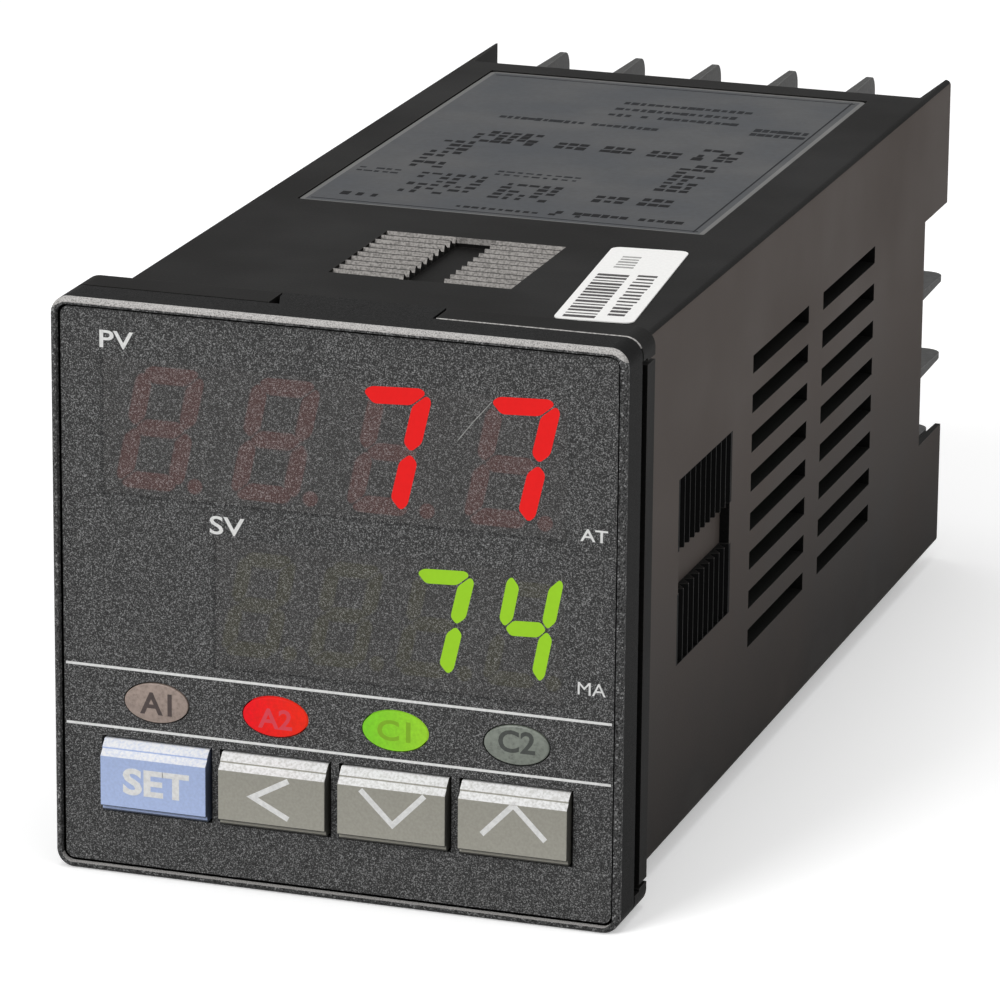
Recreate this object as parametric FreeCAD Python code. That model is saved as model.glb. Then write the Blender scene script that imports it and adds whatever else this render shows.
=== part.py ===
import FreeCAD, Part
import math
import os

from FreeCAD import Vector

# A 1/16 DIN panel temperature controller, in millimetres.
# While it is drawn, x runs to the right, y runs back from the rim of the bezel
# and z runs up from the bottom of the bezel. The last step centres it in y.

# ---------------------------------------------------------------- driving sizes

# Outside
front_size = 48.0          # the square bezel
flange_step = 1.6          # from the bezel in to the body, which passes a 45 mm cut-out
rim_to_tips = 106.5        # rim of the bezel to the tips of the terminal fins
fin_length = 8.1           # how far the fins stand behind the case walls
frame_depth = 4.0          # rim to the back of the bezel frame
flange_back = 7.4          # rim to the face that bears on the panel
case_wall = 1.6
front_corner = 1.5         # corner radius of the bezel, seen from the front
front_round = 0.55         # rounding of its front edges
body_corner = 0.5

# Fits
seam = 0.1                 # between pieces that are clipped or glued together
window_gap = 0.2           # round a display module in its window
slide_gap = 0.2            # round a key in its hole
turn_gap = 0.3             # round a plunger in its switch

# Front sheet and the floor that carries it
rim_width = 0.55
rim_groove = 0.25          # open line between the rim and the sheet
sheet_recess = 0.45        # how far the sheet lies behind the rim
sheet_thick = 0.5
floor_thick = 1.8

# Keys
key_width = 9.1
key_height = 6.0
key_web = 1.05             # between two keys
key_rise = 1.0             # how far a key stands out of the front sheet
key_lip = 0.5              # what holds the key in, above and below its hole
key_lip_thick = 0.75
key_travel = 0.5
key_stem = 3.0
key_names = ["set", "shift", "down", "up"]

# Tactile switches behind the keys
switch_size = 6.0
switch_height = 3.3
plunger_radius = 1.7
plunger_length = 2.5
plunger_seat = 2.2         # how deep the plunger's bore goes into the switch

# Indicator lenses
lens_width = 5.45
lens_height = 3.3
lens_gap = 1.8             # above the keys, and again below the set-point display
lens_rise = 0.12
lens_lip = 0.5
lens_lip_thick = 0.6
lens_rod_size = 2.4
lens_names = ["alarm_1", "alarm_2", "control_1", "control_2"]
led_width = 2.0
led_height = 1.25
led_thick = 1.2

# What holds the bezel together behind its front
tongue_half = 7.0          # half width of the notch that the bezel's tongue fills
tongue_gap = 0.25
tongue_relief = (0.75, 2.2)
skirt_half = 18.0          # half width of the two plates that hold the display board
skirt_thick = 1.1
skirt_end = 13.0
skirt_lip = 0.8
skirt_lip_half = 6.0
arm_half = 4.0             # half width of a snap arm
arm_thick = 1.0
arm_end = 14.0
hook_half = 2.8
hook_reach = 0.5
hook_start = 12.0

# Number displays: four figures each
display_shift = 0.4        # how far both stand to the left
pv_cell = 9.75             # width that one figure takes in its module
pv_module_height = 11.4
pv_figure_width = 5.7
pv_figure_height = 10.16
pv_bar = 1.35
sv_cell = 7.35
sv_module_height = 11.0
sv_figure_width = 4.8
sv_figure_height = 8.7
sv_bar = 1.15
figure_lean = 12.0         # degrees
bar_gap = 0.12             # dark line between two bars of a figure
bar_bevel = 0.35           # how much of a bar's width its outer corner loses
bar_thick = 0.25
bar_behind = 0.05          # from the back of the front sheet to the bars
point_radius = 0.6

# Circuit boards
board_thick = 1.6
display_depth = 9.0        # rim to the front of the display board
board_step = 0.4           # from the display board back to the side boards
shoulder_depth = 15.0      # behind this the side boards have their full height
board_rail = 1.2           # rail height above the wall
rail_thick = 1.0

# Clamp racks, one on each wall
rack_start = 20.2
rack_teeth = 10
rack_pitch = 1.47
rack_depth = 0.75
rack_crest = 0.2
rack_rise = 0.35           # run of the steep face of a tooth
rack_inner = 1.75          # half width of the smooth channel
rack_outer = 7.85          # half width of the whole rack
rack_channel_depth = 0.85

# Vents
vent_count = 8
vent_pitch = 3.44
vent_height = 1.6
vent_length = 17.3
vent_starts = [41.2, 63.1]

# Label and sticker on the top wall
label_width = 36.0
label_length = 52.4
label_centre_x = -0.7
label_start = 42.9
label_recess = 0.25
label_thick = 0.15
label_border = 0.1
sticker_width = 6.5
sticker_length = 23.4
sticker_thick = 0.08
sticker_centre = (15.9, 24.8)
sticker_turn = 5.5         # degrees

# Terminal block
block_thick = 5.4
fin_thick = 0.9            # at its root
fin_tip = 0.45             # thickness at its tip
fin_round = 1.6
ear_thick = 0.9            # the side walls run on behind the case as ears, thinner than the wall
ear_tip = 0.5
top_bays = 6
side_bays = 3
plate_step = 1.275         # from the boss, and from the side of the body, to a clamp plate
plate_thick = 0.8
tail_width = 1.4
tail_end = 89.0            # rim to the inner end of a terminal's tail
washer_step = 0.15         # from the edge of a clamp plate in to its washer
washer_thick = 1.0
screw_sides = 12           # flats round a shank and round its hole
head_sides = 20
head_step = 0.05           # from the edge of a washer in to the screw head
screw_head_height = 1.8
screw_radius = 1.45
screw_length = 5.6
screw_relief = 0.15        # round the end of a screw, in its pocket in the block
boss_depth = 5.6           # how far the middle of the block stands out

# ---------------------------------------------------------------- worked sizes

middle = front_size / 2
half_front = front_size / 2
body_size = front_size - 2 * flange_step
half_body = body_size / 2
half_inside = half_body - case_wall
body_top = middle + half_body
inside_top = middle + half_inside
wall_end = rim_to_tips - fin_length
sheet_back = sheet_recess + sheet_thick
floor_back = sheet_back + floor_thick
sheet_size = front_size - 2 * (rim_width + rim_groove)
bar_front = sheet_back + bar_behind
board_back = display_depth + board_thick
block_front = wall_end - block_thick
key_face = sheet_recess - key_rise
key_lip_front = floor_back + seam
switch_front = display_depth - switch_height
plunger_front = switch_front - (plunger_length - plunger_seat + key_travel + turn_gap)
bay_pitch = body_size / top_bays
boss_half = bay_pitch * side_bays / 2
plate_long = half_body - boss_half - fin_thick / 2 - 2 * plate_step
corner_bay = (bay_pitch * (top_bays / 2 - 1) + fin_thick / 2, half_inside)
plate_wide = corner_bay[1] - corner_bay[0] - 2 * seam
washer_size = plate_wide - 2 * washer_step
screw_head_radius = washer_size / 2 - head_step
side_board_x = sum(corner_bay) / 2 - tail_width / 2 - seam - board_thick / 2
side_board_front = board_back + board_step
skirt_inside = inside_top - slide_gap - skirt_thick
key_pitch = key_width + key_web
key_level = front_size - skirt_inside + 2 * slide_gap + key_lip + key_height / 2
lens_level = key_level + (key_height + lens_height) / 2 + lens_gap
sv_level = lens_level + (lens_height + sv_module_height) / 2 + lens_gap
pv_level = skirt_inside - window_gap - pv_module_height / 2
pv_left = -2 * pv_cell - display_shift
sv_left = half_inside - slide_gap - arm_thick - window_gap - 4 * sv_cell - display_shift
rack_length = rack_teeth * rack_pitch
total_depth = rim_to_tips - key_face
mid_depth = (rim_to_tips + key_face) / 2

parts = {}


# ---------------------------------------------------------------- small helpers

def block(x_range, y_range, z_range):
    low = Vector(x_range[0], y_range[0], z_range[0])
    return Part.makeBox(x_range[1] - x_range[0], y_range[1] - y_range[0], z_range[1] - z_range[0], low)


def rod(radius, start, length, direction):
    return Part.makeCylinder(radius, length, Vector(*start), Vector(*direction))


def along_y(face, y_range):
    """A face drawn in the x-z plane, moved to the first depth and drawn out to the second."""
    placed = face.copy()
    placed.translate(Vector(0, y_range[0], 0))
    return placed.extrude(Vector(0, y_range[1] - y_range[0], 0))


def rounded_face(width, height, radius, centre=(0.0, 0.0)):
    """A rectangle with round corners, in the x-z plane."""
    half_w = width / 2 - radius
    half_h = height / 2 - radius
    corners = [(half_w, half_h, 0), (-half_w, half_h, 90), (-half_w, -half_h, 180), (half_w, -half_h, 270)]
    edges = []
    points = []
    for dx, dz, start in corners:
        arc_points = []
        for turn in (0, 45, 90):
            angle = math.radians(start + turn)
            x = centre[0] + dx + radius * math.cos(angle)
            z = centre[1] + dz + radius * math.sin(angle)
            arc_points.append(Vector(x, 0, z))
        points.append(arc_points)
    for index, arc_points in enumerate(points):
        following = points[(index + 1) % 4]
        edges.append(Part.Arc(*arc_points).toShape())
        edges.append(Part.LineSegment(arc_points[2], following[0]).toShape())
    return Part.Face(Part.Wire(edges))


def rounded_prism(width, height, radius, y_range, centre=None):
    if centre is None:
        centre = (0.0, middle)
    return along_y(rounded_face(width, height, radius, centre), y_range)


def outline_face(points):
    """A face from (x, z) points."""
    corners = [Vector(x, 0, z) for x, z in points]
    return Part.Face(Part.makePolygon(corners + corners[:1]))


def side_profile(points, x_range):
    """A prism across the width from (y, z) points."""
    corners = [Vector(x_range[0], y, z) for y, z in points]
    face = Part.Face(Part.makePolygon(corners + corners[:1]))
    return face.extrude(Vector(x_range[1] - x_range[0], 0, 0))


def oval_prism(width, height, centre, y_range):
    curve = Part.Ellipse(Vector(width / 2, 0, 0), Vector(0, height / 2, 0), Vector(0, 0, 0))
    face = Part.Face(Part.Wire(curve.toShape()))
    face.rotate(Vector(0, 0, 0), Vector(1, 0, 0), 90)
    face.translate(Vector(centre[0], 0, centre[1]))
    return along_y(face, y_range)


def turned(shape, degrees):
    """A copy turned about the long axis of the body."""
    copy = shape.copy()
    copy.rotate(Vector(0, 0, middle), Vector(0, 1, 0), degrees)
    return copy


def round_edges(shape, radius, wanted):
    edges = [edge for edge in shape.Edges if wanted(edge)]
    return shape.makeFillet(radius, edges)


def lies_at_y(edge, y):
    box = edge.BoundBox
    return abs(box.YMin - y) < 1e-6 and abs(box.YMax - y) < 1e-6


def fused(shapes):
    return shapes[0].multiFuse(shapes[1:]).removeSplitter()


def flat_sided_rod(radius, y_range, sides):
    """A straight rod of even flats along y, through the origin."""
    turns = [2 * math.pi * (index + 0.5) / sides for index in range(sides)]
    points = [(radius * math.cos(turn), radius * math.sin(turn)) for turn in turns]
    return along_y(outline_face(points), y_range)


def add(name, shapes):
    """Keeps one piece, or a group of equal pieces, under its name."""
    listed = shapes if isinstance(shapes, list) else [shapes]
    solids = [solid for shape in listed for solid in shape.Solids]
    parts[name] = solids[0] if len(solids) == 1 else Part.makeCompound(solids)


def key_centre(index):
    return ((index - 1.5) * key_pitch, key_level)


def lens_centre(index):
    return ((index - 1.5) * key_pitch, lens_level)


# ---------------------------------------------------------------- bezel


def skirt_plate():
    """The upper plate that holds the display board, with the lip behind the board."""
    top = skirt_inside + skirt_thick
    plate = block((-skirt_half, skirt_half), (floor_back, skirt_end), (skirt_inside, top))
    lip_y = (board_back + seam / 2, board_back + seam / 2 + skirt_lip)
    lip = block((-skirt_lip_half, skirt_lip_half), lip_y, (skirt_inside - skirt_lip, top))
    return plate.fuse(lip)


def outline_xy(points):
    """A face from (x, y) points."""
    corners = [Vector(x, y, 0) for x, y in points]
    return Part.Face(Part.makePolygon(corners + corners[:1]))


def snap_arm():
    """The spring arm at the right, whose hook clips into a pocket of the case."""
    outer = half_inside - slide_gap
    arm_z = (middle - arm_half, middle + arm_half)
    arm = block((outer - arm_thick, outer), (floor_back, arm_end), arm_z)
    ramp = outline_xy([(outer, hook_start), (outer + hook_reach, hook_start), (outer, arm_end)])
    ramp.translate(Vector(0, 0, middle - hook_half))
    return arm.fuse(ramp.extrude(Vector(0, 0, 2 * hook_half)))


def tongue():
    """The tongue that runs back from the frame, flush with its top, to the panel face."""
    half = tongue_half - tongue_gap
    relief_x, relief_y = tongue_relief
    outline = [(-half + relief_x, frame_depth - 1.0), (half, frame_depth - 1.0), (half, flange_back),
               (-half, flange_back), (-half, frame_depth + relief_y), (-half + relief_x, frame_depth)]
    face = outline_xy(outline)
    face.translate(Vector(0, 0, body_top + seam))
    return face.extrude(Vector(0, 0, half_front - half_body - seam))


def module_opening(x_range, level, height):
    z_range = (level - height / 2 - window_gap, level + height / 2 + window_gap)
    return block((x_range[0] - window_gap, x_range[1] + window_gap), (0, frame_depth), z_range)


def key_opening(index):
    x, z = key_centre(index)
    wide = key_width / 2 + slide_gap
    high = key_height / 2 + slide_gap
    return block((x - wide, x + wide), (0, frame_depth), (z - high, z + high))


def lens_opening(index):
    return oval_prism(lens_width + 2 * seam, lens_height + 2 * seam, lens_centre(index), (0, frame_depth))


def bezel_frame():
    frame = rounded_prism(front_size, front_size, front_corner, (0, frame_depth))
    frame = round_edges(frame, front_round, lambda edge: lies_at_y(edge, 0))
    rebate_size = front_size - 2 * rim_width
    rebate = rounded_prism(rebate_size, rebate_size, front_corner - rim_width, (-1, sheet_back))
    hollow_size = 2 * half_inside
    hollow = rounded_prism(hollow_size, hollow_size, body_corner, (floor_back, frame_depth + 1))
    frame = frame.cut([rebate, hollow])
    right_arm = snap_arm()
    added = [skirt_plate(), turned(skirt_plate(), 180), right_arm, turned(right_arm, 180),
             tongue(), turned(tongue(), 180)]
    frame = fused([frame] + added)
    cuts = [module_opening((pv_left, pv_left + 4 * pv_cell), pv_level, pv_module_height),
            module_opening((sv_left, sv_left + 4 * sv_cell), sv_level, sv_module_height)]
    for index in range(4):
        cuts.append(key_opening(index))
        cuts.append(lens_opening(index))
    return frame.cut(cuts)


def front_sheet():
    corner = front_corner - rim_width - rim_groove
    sheet = rounded_prism(sheet_size, sheet_size, corner, (sheet_recess, sheet_back))
    holes = []
    for index in range(4):
        holes.append(key_opening(index))
        holes.append(lens_opening(index))
    return sheet.cut(holes)


# ---------------------------------------------------------------- keys and lenses

def key_cap(index):
    """A cap stepped in two slopes above its face and one step below, with lips and a stem."""
    x, z = key_centre(index)
    top = z + key_height / 2
    bottom = z - key_height / 2
    slope_1 = 0.55 * key_rise
    slope_2 = key_rise - slope_1
    ledge = 0.2
    lower_ledge = 0.5
    shelf = sheet_recess - slope_1
    lip_back = key_lip_front + key_lip_thick
    profile = [(sheet_recess, top), (shelf, top - slope_1), (shelf, top - slope_1 - ledge),
               (key_face, top - slope_1 - ledge - slope_2), (key_face, bottom + lower_ledge + 0.1),
               (key_face + 0.1, bottom + lower_ledge), (shelf, bottom + lower_ledge),
               (shelf, bottom + 0.15), (shelf + 0.15, bottom), (key_lip_front, bottom),
               (key_lip_front, bottom - key_lip), (lip_back, bottom - key_lip),
               (lip_back, top + key_lip), (key_lip_front, top + key_lip), (key_lip_front, top)]
    cap = side_profile(profile, (x - key_width / 2, x + key_width / 2))
    stem = block((x - key_stem / 2, x + key_stem / 2), (lip_back, plunger_front),
                 (z - key_stem / 2, z + key_stem / 2))
    return cap.fuse(stem).removeSplitter()


def switch_plunger(index):
    x, z = key_centre(index)
    body = rod(plunger_radius, (x, plunger_front, z), plunger_length, (0, 1, 0))
    return body.makeChamfer(0.2, [edge for edge in body.Edges if lies_at_y(edge, plunger_front)])


def switch_base(index):
    x, z = key_centre(index)
    half = switch_size / 2
    base = block((x - half, x + half), (switch_front, display_depth), (z - half, z + half))
    bore = rod(plunger_radius + turn_gap, (x, switch_front - 1, z), plunger_seat + 1 + turn_gap, (0, 1, 0))
    upright = [edge for edge in base.Edges if edge.BoundBox.YLength > switch_height / 2]
    return base.makeChamfer(0.5, upright).cut(bore)


def indicator_lens(index):
    x, z = lens_centre(index)
    face_y = sheet_recess - lens_rise
    plug = oval_prism(lens_width, lens_height, (x, z), (face_y, floor_back))
    wide = lens_width / 2 + lens_lip
    high = lens_height / 2 + lens_lip
    half = lens_rod_size / 2
    lip = block((x - wide, x + wide), (floor_back, floor_back + lens_lip_thick), (z - high, z + high))
    light_bar = block((x - half, x + half), (floor_back, display_depth - led_thick - turn_gap),
                      (z - half, z + half))
    return fused([plug, lip, light_bar])


def indicator_led(index):
    x, z = lens_centre(index)
    return block((x - led_width / 2, x + led_width / 2), (display_depth - led_thick, display_depth),
                 (z - led_height / 2, z + led_height / 2))


# ---------------------------------------------------------------- number displays

def bar_outlines(width, height, bar):
    """Seven bars of an upright figure about its centre, named a to g in the usual order."""
    w = width / 2
    h = height / 2
    half = bar / 2
    bevel = bar * bar_bevel
    shift = bar_gap / math.sqrt(8)
    point = bar_gap / math.sqrt(2)
    across = [(w - 2 * bevel, h), (w - bevel - shift, h - bevel + shift), (w - bar - 2 * shift, h - bar)]
    upright = [(w, h - 2 * bevel), (w - bevel + shift, h - bevel - shift), (w - bar, h - bar - 2 * shift),
               (w - bar, half + point), (w - half, point), (w, half + point)]
    tip = [(w - bar - point, half), (w - half - point, 0), (w - bar - point, -half)]
    top = across + flip_x(across)[::-1]
    return {
        "a": top,
        "b": upright,
        "c": flip_z(upright),
        "d": flip_z(top),
        "e": flip_x(flip_z(upright)),
        "f": flip_x(upright),
        "g": tip + flip_x(tip)[::-1],
    }


def flip_x(points):
    return [(-x, z) for x, z in points]


def flip_z(points):
    return [(x, -z) for x, z in points]


def leaning_bar(points, centre):
    lean = math.tan(math.radians(figure_lean))
    face = outline_face([(centre[0] + x + z * lean, centre[1] + z) for x, z in points])
    return along_y(face, (bar_front, bar_front + bar_thick))


def figure_bars(centre, width, height, bar, lit):
    """The bars of one figure, parted into the lit ones and the dark ones."""
    outlines = bar_outlines(width, height, bar)
    bright = [leaning_bar(outlines[name], centre) for name in outlines if name in lit]
    dark = [leaning_bar(outlines[name], centre) for name in outlines if name not in lit]
    lean = math.tan(math.radians(figure_lean))
    foot = -height / 2 + point_radius
    point_x = centre[0] + width / 2 + foot * lean + 1.5 * point_radius + bar_gap
    point_start = (point_x, bar_front, centre[1] + foot)
    dark.append(rod(point_radius, point_start, bar_thick, (0, 1, 0)))
    return bright, dark


def display_module(x_range, level, height):
    z_range = (level - height / 2, level + height / 2)
    return block(x_range, (bar_front + bar_thick, display_depth), z_range)


def display(prefix, left, cell, level, module_height, width, height, bar, lit_by_figure):
    right = left + cell * len(lit_by_figure)
    add(prefix + "_display", display_module((left, right), level, module_height))
    bright = []
    dark = []
    for index, lit in enumerate(lit_by_figure):
        centre = (left + cell * (index + 0.5), level)
        lit_bars, dark_bars = figure_bars(centre, width, height, bar, lit)
        bright += lit_bars
        dark += dark_bars
    add(prefix + "_lit_bars", bright)
    add(prefix + "_dark_bars", dark)


# ---------------------------------------------------------------- case

groove_depth = 1.0         # pry groove along each side of the flange
groove_width = 1.3
groove_end = 1.9           # where the groove stops short of the corners
slit_width = 0.36
slit_step = 0.9            # from the edge of the body in to the slit, in height
seam_chamfer = 0.2


def rack_cut():
    """What is cut out of the top wall for a rack: two rows of teeth and the channel between them."""
    saw = []
    for index in range(rack_teeth):
        start = rack_start + index * rack_pitch
        saw += [(start + rack_crest, body_top), (start + rack_pitch - rack_rise, body_top - rack_depth),
                (start + rack_pitch, body_top)]
    lid = [(rack_start + rack_length, body_top + 1), (rack_start + rack_crest, body_top + 1)]
    right = side_profile(saw + lid, (rack_inner, rack_outer))
    left = side_profile(saw + lid, (-rack_outer, -rack_inner))
    channel = block((-rack_inner, rack_inner), (rack_start, rack_start + rack_length),
                    (body_top - rack_channel_depth, body_top + 1))
    return [right, left, channel]


def vent_cuts():
    """Slots through the right-hand wall, in two columns."""
    cuts = []
    for start in vent_starts:
        for index in range(vent_count):
            level = middle + (index - (vent_count - 1) / 2) * vent_pitch
            cuts.append(block((half_inside - 0.5, half_body + 1), (start, start + vent_length),
                              (level - vent_height / 2, level + vent_height / 2)))
    return cuts


def board_rails():
    """Two rails on the top wall inside, which hold the edge of the right-hand board."""
    near = side_board_x - board_thick / 2 - seam - rail_thick
    far = side_board_x + board_thick / 2 + seam
    z_range = (inside_top - board_rail, inside_top + 0.2)
    y_range = (20.0, block_front - 1.0)
    return [block((start, start + rail_thick), y_range, z_range) for start in (near, far)]


def ear():
    """The upper part of the right-hand wall, which runs on to the tips of the fins and thins out."""
    face = outline_xy([(half_body - ear_thick, wall_end - 1), (half_body, wall_end - 1),
                       (half_body, rim_to_tips), (half_body - ear_tip, rim_to_tips)])
    height = half_body - boss_half + fin_thick / 2
    face.translate(Vector(0, 0, body_top - height))
    corner = rounded_prism(body_size, body_size, body_corner, (wall_end - 1, rim_to_tips))
    return face.extrude(Vector(0, 0, height)).common(corner)


def case():
    flange = rounded_prism(front_size, front_size, front_corner, (frame_depth + seam, flange_back))
    front_edges = [edge for edge in flange.Edges if lies_at_y(edge, frame_depth + seam)]
    flange = flange.makeChamfer(seam_chamfer, front_edges)
    body = rounded_prism(body_size, body_size, body_corner, (frame_depth + seam, wall_end))
    right_ear = ear()
    ears = [right_ear, mirrored_x(right_ear), turned(right_ear, 180), mirrored_x(turned(right_ear, 180))]
    shell = fused([flange, body] + ears)
    inside = rounded_prism(2 * half_inside, 2 * half_inside, 0.4, (0, rim_to_tips + 1))
    ends = block((-half_inside, half_inside), (wall_end, rim_to_tips + 1), (0, front_size))
    shell = shell.cut([inside, ends])
    rails = board_rails()
    rails += [mirrored_x(rail) for rail in rails]
    rails += [turned(rail, 180) for rail in rails]
    shell = fused([shell] + rails)
    cuts = []
    for quarter in range(4):
        cuts += [turned(cut, 90 * quarter) for cut in rack_cut()]
    side = vent_cuts()
    for degrees in (0, 90, 180):
        cuts += [turned(cut, degrees) for cut in side]
    groove = block((half_front - groove_depth, half_front + 1),
                   (frame_depth - 1, frame_depth + seam + groove_width),
                   (groove_end, front_size - groove_end))
    slit_top = body_top - slit_step + slit_width
    slit = block((half_body, half_front + 1), (frame_depth, flange_back + 1),
                 (slit_top - slit_width, slit_top))
    notch = block((-tongue_half, tongue_half), (0, flange_back + 1), (body_top, front_size + 1))
    pocket = block((half_inside - 0.5, half_inside + hook_reach + slide_gap),
                   (hook_start - seam, arm_end + 1), (middle - hook_half - 0.3, middle + hook_half + 0.3))
    for cut in (groove, slit, notch, pocket):
        cuts += [cut, turned(cut, 180)]
    cuts.append(mirrored_x(slit))
    cuts.append(turned(mirrored_x(slit), 180))
    seat_half = label_width / 2 + label_border
    seat_x = (label_centre_x - seat_half, label_centre_x + seat_half)
    seat_y = (label_start - label_border, label_start + label_length + label_border)
    cuts.append(block(seat_x, seat_y, (body_top - label_recess, body_top + 1)))
    return shell.cut(cuts)


def mirrored_x(shape):
    return shape.mirror(Vector(0, 0, 0), Vector(1, 0, 0))


def wiring_label():
    centre_y = label_start + label_length / 2
    return flat_piece(label_width, label_length, 0.6, (label_centre_x, centre_y), 0,
                      (body_top - label_recess, body_top - label_recess + label_thick))


def white_sticker():
    return flat_piece(sticker_width, sticker_length, 0.8, sticker_centre, sticker_turn,
                      (body_top, body_top + sticker_thick))


def flat_piece(width, length, radius, centre, degrees, z_range):
    """A thin sheet with round corners that lies on the top wall."""
    face = rounded_face(width, length, radius)
    face.rotate(Vector(0, 0, 0), Vector(1, 0, 0), -90)
    face.rotate(Vector(0, 0, 0), Vector(0, 0, 1), degrees)
    face.translate(Vector(centre[0], centre[1], z_range[0]))
    return face.extrude(Vector(0, 0, z_range[1] - z_range[0]))


# ---------------------------------------------------------------- terminals

def bay_places():
    """Centre (x, z) and the way out, as the angle from straight up, of each terminal bay."""
    radius = (half_body + boss_half + fin_thick / 2) / 2
    corner_x = sum(corner_bay) / 2
    places = []
    for index in range(top_bays):
        x = (index - (top_bays - 1) / 2) * bay_pitch
        x = math.copysign(min(abs(x), corner_x), x)
        places.append((x, radius, 0))
        places.append((x, -radius, 180))
    for index in range(side_bays):
        z = (index - (side_bays - 1) / 2) * bay_pitch
        places.append((radius, z, 90))
        places.append((-radius, z, 270))
    return places


def placed_in_bays(make):
    """Copies of one piece, drawn for a bay that opens upwards, in every bay."""
    copies = []
    for x, z, degrees in bay_places():
        copy = make()
        copy.rotate(Vector(0, 0, 0), Vector(0, 1, 0), degrees)
        copy.translate(Vector(x, 0, middle + z))
        copies.append(copy)
    return copies


def terminal_plate():
    """A flat clamp plate whose inner end turns forward into the block as a tail."""
    long_half = plate_long / 2
    wide_half = plate_wide / 2
    plate = block((-wide_half, wide_half), (wall_end, wall_end + plate_thick), (-long_half, long_half))
    tail = block((-tail_width / 2, tail_width / 2), (tail_end, wall_end),
                 (-long_half, plate_thick - long_half))
    hole = flat_sided_rod(screw_radius + seam, (wall_end - 1, wall_end + plate_thick + 1), screw_sides)
    return plate.fuse(tail).removeSplitter().cut(hole)


def terminal_screw():
    """A screw with its captive square washer."""
    washer_start = wall_end + plate_thick
    start = washer_start + washer_thick
    half = washer_size / 2
    washer = block((-half, half), (washer_start, start), (-half, half))
    head = flat_sided_rod(screw_head_radius, (start, start + screw_head_height), head_sides)
    shank = flat_sided_rod(screw_radius, (start - screw_length, start), screw_sides)
    return fused([washer, head, shank])


def fin(y_range, reach):
    """An upright wall from the boss outwards, thinner to its tip and rounded at its free corner."""
    inner, outer = reach
    points = [Vector(0, y_range[0], inner), Vector(0, y_range[0], outer),
              Vector(0, y_range[1] - fin_round, outer), Vector(0, y_range[1], outer - fin_round),
              Vector(0, y_range[1], inner)]
    bend = fin_round * (1 - math.sqrt(0.5))
    middle_point = Vector(0, y_range[1] - bend, outer - bend)
    edges = [Part.LineSegment(points[0], points[1]).toShape(),
             Part.LineSegment(points[1], points[2]).toShape(),
             Part.Arc(points[2], middle_point, points[3]).toShape(),
             Part.LineSegment(points[3], points[4]).toShape(),
             Part.LineSegment(points[4], points[0]).toShape()]
    face = Part.Face(Part.Wire(edges))
    face.translate(Vector(-fin_thick / 2, 0, 0))
    taper = outline_xy([(-fin_thick / 2, y_range[0]), (fin_thick / 2, y_range[0]),
                        (fin_tip / 2, y_range[1]), (-fin_tip / 2, y_range[1])])
    taper.translate(Vector(0, 0, inner))
    return face.extrude(Vector(fin_thick, 0, 0)).common(taper.extrude(Vector(0, 0, outer - inner)))


def terminal_block():
    base_size = 2 * (half_inside - seam)
    base = rounded_prism(base_size, base_size, 0.4, (block_front, wall_end))
    boss_end = wall_end + boss_depth
    boss_reach = boss_half + fin_thick / 2
    boss = block((-boss_reach, boss_reach), (wall_end - 1, boss_end),
                 (middle - boss_reach, middle + boss_reach))
    boss = boss.makeChamfer(0.5, [edge for edge in boss.Edges if lies_at_y(edge, boss_end)])
    panel = rounded_prism(2 * boss_half - 4, 2 * boss_half - 4, 0.8, (boss_end - 0.4, boss_end + 1))
    boss = boss.cut(panel)
    y_range = (wall_end, rim_to_tips)
    walls = []
    for degrees in (0, 180):
        for index in range(1, top_bays):
            x = (index - top_bays / 2) * bay_pitch
            walls.append(bay_wall(y_range, x, half_body, degrees))
    for degrees in (90, 270):
        for index in range(side_bays + 1):
            outer = half_body - ear_thick - seam if index in (0, side_bays) else half_body
            walls.append(bay_wall(y_range, (index - side_bays / 2) * bay_pitch, outer, degrees))
    shape = fused([base, boss] + walls)
    return shape.cut(placed_in_bays(screw_pocket) + placed_in_bays(tail_slot))


def bay_wall(y_range, offset, outer, degrees):
    wall = fin(y_range, (boss_half, outer))
    wall.translate(Vector(offset, 0, 0))
    wall.rotate(Vector(0, 0, 0), Vector(0, 1, 0), degrees)
    wall.translate(Vector(0, 0, middle))
    return wall


def screw_pocket():
    half = screw_radius + screw_relief
    depth = screw_length - plate_thick - washer_thick + screw_relief
    return block((-half, half), (wall_end - depth, wall_end + 1), (-half, half))


def tail_slot():
    half = tail_width / 2 + seam
    return block((-half, half), (block_front - 1, wall_end + 1),
                 (-plate_long / 2 - seam, plate_thick - plate_long / 2 + seam))


# ---------------------------------------------------------------- boards and what they carry

def display_board():
    wide = half_inside - slide_gap - arm_thick - seam
    high = skirt_inside - middle - seam
    return block((-wide, wide), (display_depth, board_back), (middle - high, middle + high))


def side_board():
    """The right-hand board: full height between its rails, narrower where it passes the bezel's skirt."""
    tall = half_inside - 0.3
    short = 16.0
    x_range = (side_board_x - board_thick / 2, side_board_x + board_thick / 2)
    front = block(x_range, (side_board_front, shoulder_depth + 1), (middle - short, middle + short))
    rear = block(x_range, (shoulder_depth, block_front - seam), (middle - tall, middle + tall))
    return fused([front, rear])


def board_header(side):
    """A pin header in the corner between the display board and a side board."""
    face = side_board_x - board_thick / 2
    x_range = (face - 2.5, face)
    body = block(x_range, (board_back, board_back + 8.5), (middle - 12.7, middle + 12.7))
    return body if side > 0 else mirrored_x(body)


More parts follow.
